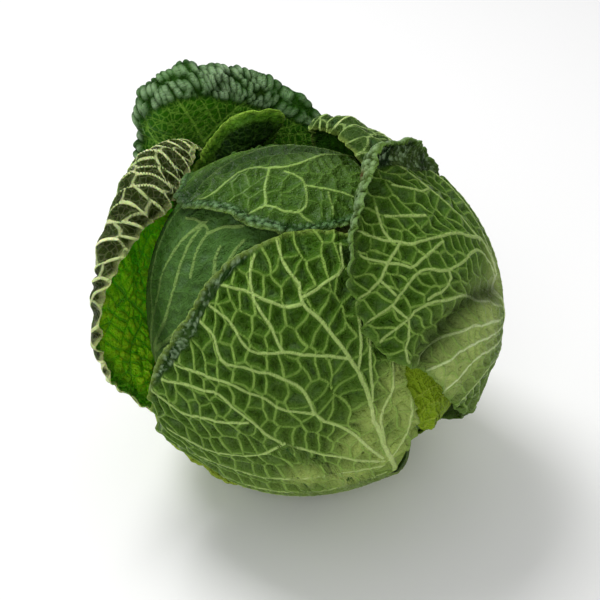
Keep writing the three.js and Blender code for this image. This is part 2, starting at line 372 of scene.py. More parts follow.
def wallDistance(seeds, place, foot):
    # distance to the nearest wall between blisters, and how much that wall runs along the fan
    gap = np.empty(len(place))
    lengthwise = np.empty(len(place))
    for k in range(0, len(place), chunk):
        part = place[k : k + chunk]
        distance = stretched(part[:, None] - seeds, part[:, None], foot)
        order = np.argpartition(distance, 2, axis=1)[:, :3]
        near = np.take_along_axis(distance, order, 1)
        rank = np.argsort(near, axis=1)
        order = np.take_along_axis(order, rank, 1)
        near = np.take_along_axis(near, rank, 1)
        first, second = seeds[order[:, 0]], seeds[order[:, 1]]
        apart = np.maximum(stretched(first - second, part, foot), 1e-6)
        gap[k : k + chunk] = (near[:, 1] ** 2 - near[:, 0] ** 2) / (2 * apart)
        fan = unitVectors((first + second) / 2 - foot)
        cross = unitVectors(first - second)
        lengthwise[k : k + chunk] = np.abs(cross[:, 0] * fan[:, 1] - cross[:, 1] * fan[:, 0])
    return gap, lengthwise


# relief
# heights off the sheet in millimetres

defaultRelief = {
    "valley": 1.6,  # how far the leaf sinks between main veins, over valleyWidth
    "valleyWidth": 9,
    "pillow": 1.7,  # how far a blister sinks from its walls, over pillowWidth
    "pillowFrom": -0.1,
    "pillowWidth": 2.8,
    "crinkle": 0.55,  # creases on the blisters
    "crinkleEdge": 0.42,  # how far a crease spreads, in creased cells
    "grain": 0.22,  # and finer ones
    "grainEdge": 0.2,
    "grainShare": 0.45,  # their size to that of the creases
    "fineCell": 3.8,  # size of the creased cells
    "fineStretch": (1, 1.5),
    "ridge": 0.5,  # how far a vein stands up, for each millimetre of half its width
    "ridgeMost": 2,
    "ridgeSpread": 1.25,
    "ridgeLeast": 0.2,
    "wallHalf": 0.18,  # half the width of a wall between blisters
    "wallAcross": 0.5,  # how much of that a wall keeps where it crosses the fan
    "wallRidge": 0.3,
    "wallSpread": 0.6,
    "smooth": 0.1,  # how much of the relief is left at the foot
    "plainFrom": (20, 90),  # distance from the foot where the relief begins and is full
    "ruffle": 1.6,  # slow waves of the margin
    "ruffleReach": 11,
    "ruffleWaves": (9, 13, 19),
    "frill": 0.9,  # quick waves of the margin
    "frillReach": 5,
    "frillWaves": (31, 43, 57),
    "bead": 0,  # round blisters along the margin, in a band beadWidth wide
    "beadSize": (3.4, 4),
    "beadWidth": [-9],  # below 0 there is no band
    "beadSoft": 1.5,  # half the width over which that band fades in
    "beadRadius": 0.62,  # as a share of beadSize
    "beadJitter": 0.34,
    "bandFlat": 0.8,  # how much the band flattens what lies under it
    "bandCalm": 0.7,  # and how much it calms the frill
    "paleReach": 60,  # how far the pale colour spreads from the foot
    "veinDrift": (16, 0.5),  # wandering: length of its waves, and how far they carry
    "wallDrifts": ((26, 1.3), (9, 0.7)),
    "creaseDrift": (7, 0.9),
    "grainDrift": (5, 0.6),
    "beadDrift": (7, 0.5),
}
jitterTile = 64  # the crinkles' random offsets repeat after so many cells


def fineCells(place, size, seed, spread=0.42):
    # distance to the walls and to the middles of a jittered grid's cells
    jitter = np.random.default_rng(seed).uniform(-spread, spread, (jitterTile, jitterTile, 2))
    cell = place / size
    corner = np.floor(cell).astype(int)
    near = []
    for i in range(-1, 2):
        for j in range(-1, 2):
            at = corner + (i, j)
            middle = at + 0.5 + jitter[at[:, 0] % jitterTile, at[:, 1] % jitterTile]
            near.append(np.linalg.norm(middle - cell, axis=1))
    near = np.sort(np.array(near), axis=0)[:2]
    return (near[1] - near[0]) * size / 2, near[0] * size


def drift(place, length, amount, seed):
    # gentle wandering of a flat pattern, in waves of about this length
    rng = np.random.default_rng(seed)
    moved = place.astype(float).copy()
    waveCount, spread, overlap = 5, (0.7, 1.5), 2.2  # waves, their lengths, and how they add up
    for _ in range(waveCount):
        heading = rng.uniform(0, 2 * np.pi)
        along = place @ np.array([np.cos(heading), np.sin(heading)])
        wave = along * 2 * np.pi / (length * rng.uniform(*spread))
        turn = rng.uniform(0, 2 * np.pi)
        moved += amount / overlap * np.sin(wave + turn)[:, None] * [np.sin(turn), np.cos(turn)]
    return moved


def marginLength(leaf, angle):
    # length along the margin from the tip, round to the right
    count, widest = 720, 1.5  # steps round the leaf, and radians of reach where it's widest
    turns = np.linspace(-np.pi, np.pi, count + 1)
    steps = np.sin(np.clip(marginReach(leaf, turns), 0, widest)) * arcLength * 2 * np.pi / count
    return np.interp(angle, turns, np.cumsum(steps))


def marginBeads(leaf, relief, angle, fromEdge, seed):
    # rows of round blisters along the margin, each row shifted by half a blister
    length, depth = relief["beadSize"]
    row = fromEdge / depth
    place = np.column_stack([marginLength(leaf, angle) / length + 0.5 * (np.floor(row) % 2), row])
    _, middle = fineCells(drift(place, *relief["beadDrift"], seed + 1), 1, seed, relief["beadJitter"])
    return np.sqrt(np.clip(1 - (middle / relief["beadRadius"]) ** 2, 0, 1))


def crinkles(relief, place, seed):
    # creases and grain on the blisters, 0 in a crease and 1 between creases
    size = relief["fineCell"]
    moved = drift(place, *relief["creaseDrift"], seed + 4) * relief["fineStretch"]
    creaseWall, _ = fineCells(moved, size, seed + 5)
    moved = drift(place, *relief["grainDrift"], seed + 9)
    grainWall, _ = fineCells(moved, size * relief["grainShare"], seed + 10)
    crease = smoothStep(0, relief["crinkleEdge"] * size, creaseWall)
    return crease, smoothStep(0, relief["grainEdge"] * size, grainWall)


def nearLine(place, points):
    line = smoothLine(points, foldStep)
    return np.sqrt(np.min(np.sum((place[:, None] - line) ** 2, -1), axis=1))


def spots(place, marks):
    # soft round marks
    strength = np.zeros(len(place))
    for x, y, size in marks:
        strength = np.maximum(strength, fade(np.linalg.norm(place - (x, y), axis=1), size))
    return strength


def veinRidges(relief, main, half, wall, wallHalf, plain):
    # rounded ridges of the veins, and the low ones of the walls between blisters
    across = np.maximum(main + half, 0) / (relief["ridgeSpread"] * np.maximum(half, relief["ridgeLeast"]))
    ridge = np.minimum(half, relief["ridgeMost"]) * np.sqrt(np.clip(1 - across**2, 0, 1))
    wallRidge = np.clip(1 - np.maximum(wall + wallHalf, 0) / relief["wallSpread"], 0, 1)
    return relief["ridge"] * ridge + relief["wallRidge"] * wallRidge * plain


def ruffles(relief, turn, fromEdge, inBand, seed):
    # slow and quick waves that die away from the margin
    ripple = waves(turn, relief["ruffleWaves"], seed + 6) * fade(fromEdge, relief["ruffleReach"])
    frill = waves(turn, relief["frillWaves"], seed + 7) * fade(fromEdge, relief["frillReach"])
    return relief["ruffle"] * ripple + relief["frill"] * frill * (1 - relief["bandCalm"] * inBand)


def foldShape(place, foldsAndShades):
    # how deep the folds are, and where their painted shade lies
    sink, mask = np.zeros(len(place)), np.zeros(len(place))
    for depth, width, points in foldsAndShades:
        crease = fade(nearLine(place, points), width)
        sink += depth * crease
        mask = np.maximum(mask, crease)
    return sink, mask


def blisterHeight(relief, main, wall, crinkle, grain, plain):
    # valleys between the main veins, with a sunken blister in each cell of their walls
    valley = smoothStep(0, relief["valleyWidth"], main)
    pillow = smoothStep(relief["pillowFrom"], relief["pillowWidth"], np.minimum(wall, main))
    sink = relief["valley"] * valley + relief["pillow"] * pillow
    sink += (relief["crinkle"] * crinkle + relief["grain"] * grain) * pillow
    return ((relief["valley"] + relief["pillow"]) / 2 - sink) * plain


def layFlat(leaf, rho, angle):
    # where each point lies on the leaf laid flat, and how far it is from the margin
    reach = marginReach(leaf, angle) * arcLength
    flat, turn = (rho * reach).ravel(), angle.ravel()
    return np.column_stack([flat * np.sin(turn), flat * np.cos(turn)]), ((1 - rho) * reach).ravel()


def leafRelief(leaf, rho, angle, seed):
    # height off the sheet, and the masks that the finish reads
    rng = np.random.default_rng(seed)
    relief = {**defaultRelief, **leaf["relief"]}
    turn = angle.ravel()
    place, fromEdge = layFlat(leaf, rho, angle)
    foot = stalkFoot(leaf)
    fromFoot = np.linalg.norm(place - foot, axis=1)
    plain = relief["smooth"] + (1 - relief["smooth"]) * smoothStep(*relief["plainFrom"], fromFoot)

    veins = mainVeins(leaf, rng)
    main, half = veinDistance(veins, drift(place, *relief["veinDrift"], seed + 3))
    moved = place
    for number, wandering in enumerate(relief["wallDrifts"]):
        moved = drift(moved, *wandering, seed + 1 + number)
    wall, lengthwise = wallDistance(cellSeeds(leaf, veins, foot, rng), moved, foot)
    wallHalf = relief["wallHalf"] * (relief["wallAcross"] + lengthwise**2)
    wall = wall - wallHalf
    crinkle, grain = crinkles(relief, place, seed)
    height = blisterHeight(relief, main, wall, crinkle, grain, plain)
    height += veinRidges(relief, main, half, wall, wallHalf, plain)

    inBand = smoothStep(-relief["beadSoft"], relief["beadSoft"], around(relief["beadWidth"], turn) - fromEdge)
    beads = marginBeads(leaf, relief, turn, fromEdge, seed + 11)
    height += (relief["bead"] * beads - height * relief["bandFlat"]) * inBand
    height += ruffles(relief, turn, fromEdge, inBand, seed)
    foldSink, foldShade = foldShape(place, leaf["foldsAndShades"])
    height -= foldSink
    masks = {  # distances are kept only as far as the finish reads them
        "vein": np.clip(main, -3, 9),
        "wall": np.clip(wall, -2, 9),
        "walled": (0.5 + 0.5 * lengthwise) * plain * (1 - inBand),
        "plain": plain,
        "fine": crinkle * grain,
        "bead": beads * inBand,
        "band": inBand,
        "edge": np.clip(fromEdge, 0, 60),
        "pale": np.maximum(fade(fromFoot, relief["paleReach"]), spots(place, leaf["paleSpots"])),
        "foldShade": foldShade,
        "scar": spots(place, leaf["scars"]),
    }
    return height.reshape(rho.shape), masks


# leaf meshes

skinShape = {
    "edgeThin": 0.35,  # thickness at the very margin, as a share
    "edgeRound": 0.02,  # share of the reach over which it rounds off
    "spare": 0.35,  # millimetres more for each extra inner step, to keep a coarser inner face clear
    "jagWaves": (7, 12, 23, 37, 52, 71),
}


def gridNormals(points):
    return unitVectors(np.cross(np.gradient(points, axis=1), np.gradient(points, axis=0)))


def leafGrid(count):
    # a square grid pressed into a disc: rho is 0 in the middle and 1 on the margin
    a, b = np.meshgrid(np.linspace(-1, 1, count + 1), np.linspace(-1, 1, count + 1))
    x, y = a * np.sqrt(1 - b * b / 2), b * np.sqrt(1 - a * a / 2)
    return np.clip(np.hypot(x, y), 0, 1), np.arctan2(x, y)


def leafMesh(name, leaf, seed):
    count = leaf["grid"]
    rho, angle = leafGrid(count)
    jag = waves(angle, skinShape["jagWaves"], seed + 8) * leaf["jag"] * rho**3
    sheet = leafSheet(leaf, rho * (1 + jag), angle)
    normal = gridNormals(sheet)
    middle = count // 2
    if np.sum(normal[middle, middle] * sheet[middle, middle]) < 0:
        normal = -normal
    height, masks = leafRelief(leaf, rho, angle, seed)
    body = sheet + normal * height[..., None]
    skin = gridNormals(body)
    skin *= np.sign(np.sum(skin * normal, -1))[..., None]
    thin = skinShape["edgeThin"]
    rounded = thin + (1 - thin) * np.sqrt(np.clip((1 - rho) / skinShape["edgeRound"], 0, 1))
    step = leaf["innerStep"]
    half, spare = leaf["thickness"] / 2, skinShape["spare"] * (step - 1)
    outer = body + skin * (half * rounded)[..., None]
    inner = (body - skin * ((half + spare) * rounded)[..., None])[::step, ::step]
    mesh = solidFromGrids(name, outer, inner, step)
    for key, values in masks.items():
        values = values.reshape(rho.shape)
        addAttribute(mesh, key, np.concatenate([values.ravel(), values[::step, ::step].ravel()]))
    addAttribute(mesh, "upper", np.repeat([0.0, 1.0], [outer[..., 0].size, inner[..., 0].size]))
    return mesh


def rimLoop(rows, columns, start):
    index = start + np.arange(rows * columns).reshape(rows, columns)
    return np.concatenate([index[0, :-1], index[:-1, -1], index[-1, :0:-1], index[:0:-1, 0]])


def gridQuads(rows, columns, start, flip):
    index = start + np.arange(rows * columns).reshape(rows, columns)
    quads = np.stack([index[:-1, :-1], index[:-1, 1:], index[1:, 1:], index[1:, :-1]], -1).reshape(-1, 4)
    return quads[:, ::-1] if flip else quads


def solidFromGrids(name, outer, inner, step):
    # two faces of a thin leaf, joined round the rim
    points = headCentre + unit * np.vstack([outer.reshape(-1, 3), inner.reshape(-1, 3)])
    points[:, 2] = np.maximum(points[:, 2], 0)  # the weight of the head presses the lowest blisters flat
    n, m = outer.shape[0], inner.shape[0]
    centre = outer[n // 2, n // 2]
    across = np.cross(outer[n // 2, n // 2 + 1] - centre, outer[n // 2 + 1, n // 2] - centre)
    flip = np.dot(across, centre) < 0
    quads = np.vstack([gridQuads(n, n, 0, flip), gridQuads(m, m, n * n, not flip)])
    outerRim, innerRim = rimLoop(n, n, 0), rimLoop(m, m, n * n)
    low = [np.roll(outerRim, -k)[::step] for k in range(step + 1)]
    rim = np.stack(low + [np.roll(innerRim, -1), innerRim], -1)
    rim = rim if flip else rim[:, ::-1]
    loops = np.concatenate([quads.ravel(), rim.ravel()])
    sizes = np.concatenate([np.full(len(quads), 4), np.full(len(rim), step + 3)])
    mesh = meshFromFaces(name, points, loops, sizes)
    markRims(mesh, outerRim, innerRim)
    return mesh


def meshFromFaces(name, points, loops, sizes):
    mesh = bpy.data.meshes.new(name)
    mesh.vertices.add(len(points))
    mesh.vertices.foreach_set("co", points.astype(np.float32).ravel())
    mesh.loops.add(len(loops))
    mesh.loops.foreach_set("vertex_index", loops.astype(np.int32))
    mesh.polygons.add(len(sizes))
    mesh.polygons.foreach_set("loop_start", (np.cumsum(sizes) - sizes).astype(np.int32))
    mesh.update(calc_edges=True)
    mesh.validate()
    mesh.shade_smooth()
    return mesh


def markRims(mesh, outerRim, innerRim):
    # sharp edges where the two faces meet the rim between them
    edges = np.empty(len(mesh.edges) * 2, np.int32)
    mesh.edges.foreach_get("vertices", edges)
    edges = edges.reshape(-1, 2)
    onRim = np.zeros(len(mesh.vertices), int)
    onRim[outerRim] = 1
    onRim[innerRim] = 2
    sharp = (onRim[edges[:, 0]] > 0) & (onRim[edges[:, 0]] == onRim[edges[:, 1]])
    crease = mesh.attributes.get("sharp_edge") or mesh.attributes.new("sharp_edge", "BOOLEAN", "EDGE")
    crease.data.foreach_set("value", sharp)


def addAttribute(mesh, key, values):
    layer = mesh.attributes.new(key, "FLOAT", "POINT")
    layer.data.foreach_set("value", values.astype(np.float32))


# leaf finishes: colours as seen, sizes in metres, distances from a line or the margin in millimetres

defaultLook = {
    "upperNet": "#7f9f60",
    # waxSheen: the bluish wax bloom with painted sheen, and the painted highlight on bead tops; beadShade:
    # painted shade on the bead sides and in the gaps between beads, over their dark green
    "waxSheen": "#5d8069",
    "beadShade": "#24461e",
    "scar": "#4a2c12",
    "veins": 0.9,
    "walls": 0.8,
    "coat": 0,
    "shine": 0.06,
    "glow": 0.08,
    "inland": (6, 22),  # where the upper face goes from its margin colour to its inland one
    "veinFade": 0.35,  # over which a vein's colour dies out
    "wallFade": 0.26,
    "hollowFrom": (0.2, 1.5),  # from a line, where the shoulder turns into the hollow, darkened with painted shade
    "plainDepth": 0.25,  # how dark a hollow is where the leaf is plain
    "patches": {"size": 0.026, "low": 0.36, "high": 0.64},
    "specks": {"size": 0.003, "low": 0.32, "high": 0.68, "detail": 4},
    "mottle": {"size": 0.0026, "low": 0.5, "high": 0.62, "detail": 2, "roughness": 0.7},
    "waxSheenSpots": {"size": 0.007, "low": 0.48, "high": 0.68, "detail": 4},
    "netSize": 0.0034,
    "netLine": 0.13,
    "specked": 0.2,  # strengths, from 0 to 1: shoulder colour in specks, creases and mottling; on the creases it is a painted highlight
    "creaseHighlight": 0.6,
    "mottled": 0.4,
    "wax": 0.2,  # the wax bloom with its painted sheen in the hollows
    "netted": 0.1,  # the fine net on the underside, and on the upper face
    "net": 0.3,
    "blotch": 0.4,  # dark patches on the upper face
    "pales": 0.9,
    "beads": 0.92,
    "beadPatches": 0.45,
    "beadFrom": 0.35,  # height on a bead where its painted highlight begins
    "beadContrast": 2.4,
    "marginWidth": 2.4,  # and its strength
    "margins": 0.7,
    # strength of the painted shade in the folds
    "foldsAndShades": 0.75,
    "roughRange": (-0.08, 0.1),  # about the look's own roughness
    "bump": (0.7, 0.0008),
    "netHeight": 0.5,
    "speckHeight": 0.8,
    "coatRoughness": 0.2,
    "glowRadius": (0.4, 1, 0.12),
    "glowScale": 0.0015,
}


def seen(colour):
    # a colour as seen, such as "#4f7f16", to the shader's linear values
    values = [int(colour[k : k + 2], 16) / 255 for k in (1, 3, 5)]
    return [v / 12.92 if v <= 0.04045 else ((v + 0.055) / 1.055) ** 2.4 for v in values] + [1]


class NodeTable:
    # small helper to lay out a material's nodes
    def __init__(self, name):
        self.material = bpy.data.materials.new(name)
        self.material.use_nodes = True
        self.tree = self.material.node_tree
        self.shader = self.tree.nodes["Principled BSDF"]

    def link(self, source, target):
        self.tree.links.new(source, target)

    def put(self, value, socket):
        if isinstance(value, bpy.types.NodeSocket):
            self.link(value, socket)
        else:
            socket.default_value = value

    def settle(self, settings):
        for key, value in settings.items():
            self.shader.inputs[key].default_value = value

    def attribute(self, key):
        node = self.tree.nodes.new("ShaderNodeAttribute")
        node.attribute_name = key
        return node.outputs["Fac"]

    def maths(self, operation, a, b):
        node = self.tree.nodes.new("ShaderNodeMath")
        node.operation = operation
        self.put(a, node.inputs[0])
        self.put(b, node.inputs[1])
        return node.outputs[0]

    def times(self, a, b):
        return self.maths("MULTIPLY", a, b)

    def mix(self, factor, a, b):
        node = self.tree.nodes.new("ShaderNodeMix")
        node.data_type = "RGBA"
        self.put(factor, node.inputs[0])
        self.put(a, node.inputs[6])
        self.put(b, node.inputs[7])
        return node.outputs[2]

    def tint(self, under, colour, mask, strength):
        # lays a colour over another where the mask is, as strongly as it says
        return self.mix(self.times(mask, strength), under, seen(colour))

    def place(self):
        return self.tree.nodes.new("ShaderNodeTexCoord").outputs["Object"]

    def noise(self, size, low, high, detail=3.0, roughness=0.55):
        node = self.tree.nodes.new("ShaderNodeTexNoise")
        self.link(self.place(), node.inputs["Vector"])
        node.inputs["Scale"].default_value = 1 / size
        node.inputs["Detail"].default_value = detail
        node.inputs["Roughness"].default_value = roughness
        return self.stretch(node.outputs["Fac"], low, high)

    def walls(self, size):
        node = self.tree.nodes.new("ShaderNodeTexVoronoi")
        node.feature = "DISTANCE_TO_EDGE"
        self.link(self.place(), node.inputs["Vector"])
        node.inputs["Scale"].default_value = 1 / size
        return node.outputs["Distance"]

    def stretch(self, value, low, high, newLow=0.0, newHigh=1.0):
        node = self.tree.nodes.new("ShaderNodeMapRange")
        self.put(value, node.inputs["Value"])
        for key, number in (("From Min", low), ("From Max", high), ("To Min", newLow), ("To Max", newHigh)):
            node.inputs[key].default_value = number
        return node.outputs["Result"]

    def rough(self, texture, roughness, spread):
        low, high = spread
        rough = self.stretch(texture, 0, 1, roughness + low, roughness + high)
        self.link(rough, self.shader.inputs["Roughness"])

    def bump(self, height, strength, distance):
        node = self.tree.nodes.new("ShaderNodeBump")
        node.inputs["Strength"].default_value = strength
        node.inputs["Distance"].default_value = distance
        self.link(height, node.inputs["Height"])
        self.link(node.outputs["Normal"], self.shader.inputs["Normal"])


def leafMasks(table, look):
    # where each part of the finish goes, from the mesh and from textures
    mask = {key: table.attribute(key) for key in ("upper", "band", "pale", "edge", "foldShade", "scar")}
    for key in ("patches", "specks", "mottle", "waxSheenSpots"):
        mask[key] = table.noise(**look[key])
    mask["net"] = table.stretch(table.walls(look["netSize"]), 0, look["netLine"])
    mask["netLine"] = table.maths("SUBTRACT", 1, mask["net"])
    mask["creases"] = table.maths("SUBTRACT", 1, table.attribute("fine"))
    vein, wall = table.attribute("vein"), table.attribute("wall")
    mask["veinLine"] = table.stretch(vein, 0, look["veinFade"], 1, 0)
    wallLine = table.stretch(wall, 0, look["wallFade"], 1, 0)
    mask["wallLine"] = table.times(wallLine, table.attribute("walled"))
    # hollows of the blisters, where painted shade darkens the colour
    hollowShading = table.stretch(table.maths("MINIMUM", vein, wall), *look["hollowFrom"])
    plain = table.stretch(table.attribute("plain"), 0, 1, look["plainDepth"], 1)
    mask["deep"] = table.times(hollowShading, plain)
    return mask


def undersideColours(table, look, mask):
    # hollows darkened with painted shade over their own darker green, and the colours of the pale veins and
    # walls between them
    hollow = table.mix(mask["patches"], seen(look["hollow"]), seen(look["hollowDark"]))
    cell = table.mix(mask["deep"], seen(look["shoulder"]), hollow)
    vein = table.mix(mask["pale"], seen(look["vein"]), seen(look.get("paleVein", look["vein"])))
    wall = seen(look["wall"])
    if "settled" in look:  # colours of their own far from the margin
        settled = look["settled"]
        within = table.stretch(mask["edge"], *settled["from"])
        settledCell = table.mix(mask["deep"], seen(settled["shoulder"]), seen(settled["hollow"]))
        cell = table.mix(within, cell, settledCell)
        vein = table.mix(within, vein, seen(settled["vein"]))
        wall = table.mix(within, wall, seen(settled["wall"]))
    for key, strength in (("specks", "specked"), ("creases", "creaseHighlight"), ("mottle", "mottled")):
        cell = table.tint(cell, look["shoulder"], mask[key], look[strength])
    cell = table.tint(cell, look["waxSheen"], table.times(mask["waxSheenSpots"], mask["deep"]), look["wax"])
    cell = table.tint(cell, look["wall"], mask["netLine"], look["netted"])
    cell = table.tint(cell, look["pale"], mask["pale"], look["pales"])
    return cell, vein, wall


def upperColour(table, look, mask):
    inland = seen(look.get("upperInland", look["upper"]))
    top = table.mix(table.stretch(mask["edge"], *look["inland"]), seen(look["upper"]), inland)
    top = table.tint(top, look["hollowDark"], mask["patches"], look["blotch"])
    return table.tint(top, look["upperNet"], mask["netLine"], look["net"])


def bladeColour(table, look, mask):
    # both faces, with their walls and veins over them
    upper, net = mask["upper"], seen(look["upperNet"])
    cell, vein, wall = undersideColours(table, look, mask)
    colour = table.mix(upper, cell, upperColour(table, look, mask))
    colour = table.mix(table.times(mask["wallLine"], look["walls"]), colour, table.mix(upper, wall, net))
    return table.mix(table.times(mask["veinLine"], look["veins"]), colour, table.mix(upper, vein, net))


def marginColour(table, look, mask, colour):
    # the beaded band, with painted highlights on the bead tops and painted shade between them, and the pale
    # margin over the blade, then painted shade in the folds, and scars
    crests = table.stretch(table.attribute("bead"), look["beadFrom"], 1)
    crests = table.maths("POWER", crests, look["beadContrast"])
    beads = table.mix(crests, seen(look["beadShade"]), seen(look["waxSheen"]))
    beads = table.tint(beads, look["upper"], mask["patches"], look["beadPatches"])
    colour = table.mix(table.times(mask["band"], look["beads"]), colour, beads)
    margin = table.stretch(mask["edge"], 0, look["marginWidth"], look["margins"], 0)
    colour = table.mix(margin, colour, seen(look["margin"]))
    # painted shade along the folds
    colour = table.tint(colour, look["hollowDark"], mask["foldShade"], look["foldsAndShades"])
    return table.mix(mask["scar"], colour, seen(look["scar"]))


def leafFinish(name, look):
    look = {**defaultLook, **look}
    table = NodeTable(name)
    mask = leafMasks(table, look)
    colour = marginColour(table, look, mask, bladeColour(table, look, mask))
    table.link(colour, table.shader.inputs["Base Color"])
    table.rough(mask["specks"], look["roughness"], look["roughRange"])
    net = table.times(mask["net"], look["netHeight"])
    specks = table.times(mask["specks"], look["speckHeight"])
    lines = table.maths("MAXIMUM", mask["veinLine"], mask["wallLine"])
    height = table.maths("ADD", table.maths("ADD", net, specks), lines)
    table.bump(table.maths("ADD", height, mask["mottle"]), *look["bump"])
    table.settle({
        "Coat Weight": look["coat"], "Coat Roughness": look["coatRoughness"],
        "Specular IOR Level": look["shine"], "Subsurface Weight": look["glow"],
        "Subsurface Radius": look["glowRadius"], "Subsurface Scale": look["glowScale"],
    })
    return table.material


def addPiece(name, mesh, material, node):
    piece = bpy.data.objects.new(name, mesh)
    bpy.context.scene.collection.objects.link(piece)
    piece.data.materials.append(material)
    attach(piece, "root")
    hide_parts(node)


def addLeaf(name, leaf, node, seed):
    mesh = leafMesh(name, {**defaultLeaf, **leaf}, seed)
    addPiece(name, mesh, leafFinish(name + "Finish", leaf["look"]), node)
    print(name, len(mesh.polygons), "faces")


# the leaves, from the inside out: each is one dictionary
# at: angle from the crown and azimuth of the leaf's middle; lift: its height off the head
# reach: degrees from the middle to the margin; edgeLift: height of the margin off the head
# stalk: direction, reach and width of the stalk's foot; grid: squares across the leaf

heartReach = [66, 62, 60, 58, 62, 70, 76, 70, 62, 58, 60, 62]
sideReach = [60, 58, 58, 58, 62, 70, 76, 70, 62, 58, 58, 58]
plainFan = {"width": 3.6, "pairs": 4, "first": 0.3, "angle": 50, "curve": -7, "length": 62}
heartLeaf = {
    "grid": 30, "innerStep": 1, "fan": plainFan,
    "look": {
        "hollow": "#61742b", "hollowDark": "#4c601c", "shoulder": "#6e7f36", "wall": "#86944c",
        "vein": "#a4b06d", "pale": "#8c9952", "upper": "#93a957", "upperNet": "#a9bb70",
        "waxSheen": "#a9bb70", "beadShade": "#86a04a", "margin": "#86944c", "veins": 0.7, "walls": 0.5,
        "roughness": 0.45, "coat": 0.03, "shine": 0.15,
    },
}
heartLeaves = {
    "Front": {"at": (58, 265), "lift": -11.7, "reach": heartReach},
    "Back": {"at": (58, 85), "lift": -8.5, "reach": heartReach},
    "Right": {"at": (60, 350), "lift": -5.9, "reach": sideReach},
    "Left": {"at": (60, 170), "lift": -3.4, "reach": sideReach},
}
for number, (side, place) in enumerate(heartLeaves.items()):
    leaf = {**heartLeaf, **place, "edgeLift": [place["lift"]]}
    addLeaf("heartLeaf" + side, leaf, "heart_leaf_" + side.lower(), 100 * (number + 1))

innerLeftLeaf = {
    "at": (52, 208), "lift": 0, "reach": [76, 70, 60, 55, 55, 50, 45, 50, 55, 52, 50, 62],
    "edgeLift": [0], "grid": 170, "cell": 11, "slim": 1.5,
    "veins": [
        (1.6, 0.7, [(6, -40), (14, 8), (10, 30), (2, 50), (-2, 64)]),
        (1.2, 0.7, [(4, -40), (4, 10), (-4, 34), (-3, 60)]),
        (1.2, 0.7, [(12, -12), (26, 20), (25, 45), (14, 62)]),
        (0.9, 0.7, [(22, 10), (32, 34), (24, 56), (20, 72)]),
        (1, 0.7, [(4, 5), (-12, 20), (-22, 40), (-26, 58)]),
        (1, 0.7, [(14, 42), (7, 53), (5, 61), (-4, 60), (-14, 54)]),
        (0.9, 0.7, [(5, 61), (8, 70), (14, 76)]),
    ],
    # a painted shade line of depth 0 along the left margin, where the leaf lies in shade
    "foldsAndShades": [
        (0, 9, [(-24, 50), (-18, 38), (-11, 28), (-4, 20), (3, 13), (10, 7), (18, 1)]),
    ],
    "relief": {
        "valley": 0.7, "pillow": 0.6, "crinkle": 0.2, "grain": 0.08, "plainFrom": (10, 60), "smooth": 0.3,
    },
    "look": {
        "hollow": "#3b5f20", "hollowDark": "#1f3d0a", "shoulder": "#42662a", "wall": "#5c7c38",
        "vein": "#8aa85a", "pale": "#6a8a44", "upper": "#3e6d2a", "waxSheen": "#7f9f7c",
        "beadShade": "#33552a", "margin": "#647f32", "veins": 0.6, "walls": 0.14, "roughness": 0.5,
        "shine": 0.08,
    },
}
addLeaf("innerLeftLeaf", innerLeftLeaf, "inner_left_leaf", 500)

outerLook = {
    "hollow": "#2b5208", "hollowDark": "#183a04", "shoulder": "#4a7016", "wall": "#80a246",
    "vein": "#9ab663", "pale": "#93ad55", "upper": "#33601a", "margin": "#819836", "roughness": 0.4,
}
underLeaf = {
    "at": (112, 290), "lift": 3, "reach": [44, 46, 48, 50, 46, 44, 44, 44, 46, 50, 48, 46],
    "edgeLift": [2.7], "grid": 90, "fan": plainFan, "look": outerLook,
}
addLeaf("underLeaf", underLeaf, "under_leaf", 600)

innerBackLeaf = {
    "at": (66, 110), "lift": 3.6, "reach": [24, 28, 34, 50, 55, 55, 55, 55, 50, 46, 32, 25],
    "edgeLift": [3.5, 3.5, 3.3, 3.2, 3.2, 3.4, 3.5, 3.5], "grid": 90,
    "fan": {**plainFan, "pairs": 5, "angle": 32, "curve": -3},
    "relief": {"valley": 1.2, "pillow": 0.4, "crinkle": 0.1, "grain": 0},
    "look": {
        # colours dark all over, veins too: painted shade of the narrow gap it lies in, over its own green
        "hollow": "#1f4007", "hollowDark": "#122d03", "shoulder": "#294b0f", "wall": "#345413",
        "vein": "#4d6c23", "pale": "#3b5817", "upper": "#2e5524", "upperNet": "#5c8034",
        "margin": "#426719", "veins": 0.6, "walls": 0.2, "roughness": 0.5, "coat": 0.03, "shine": 0.15,
    },
}
addLeaf("innerBackLeaf", innerBackLeaf, "inner_back_leaf", 700)

rearLeaf = {
    "at": (98, 30), "lift": 5.6, "reach": [22, 26, 36, 46, 50, 50, 56, 50, 50, 46, 36, 26],
    "edgeLift": [5.3], "stalk": (180, 71, 24), "grid": 100, "fan": plainFan, "look": outerLook,
}
addLeaf("rearLeaf", rearLeaf, "rear_leaf", 800)

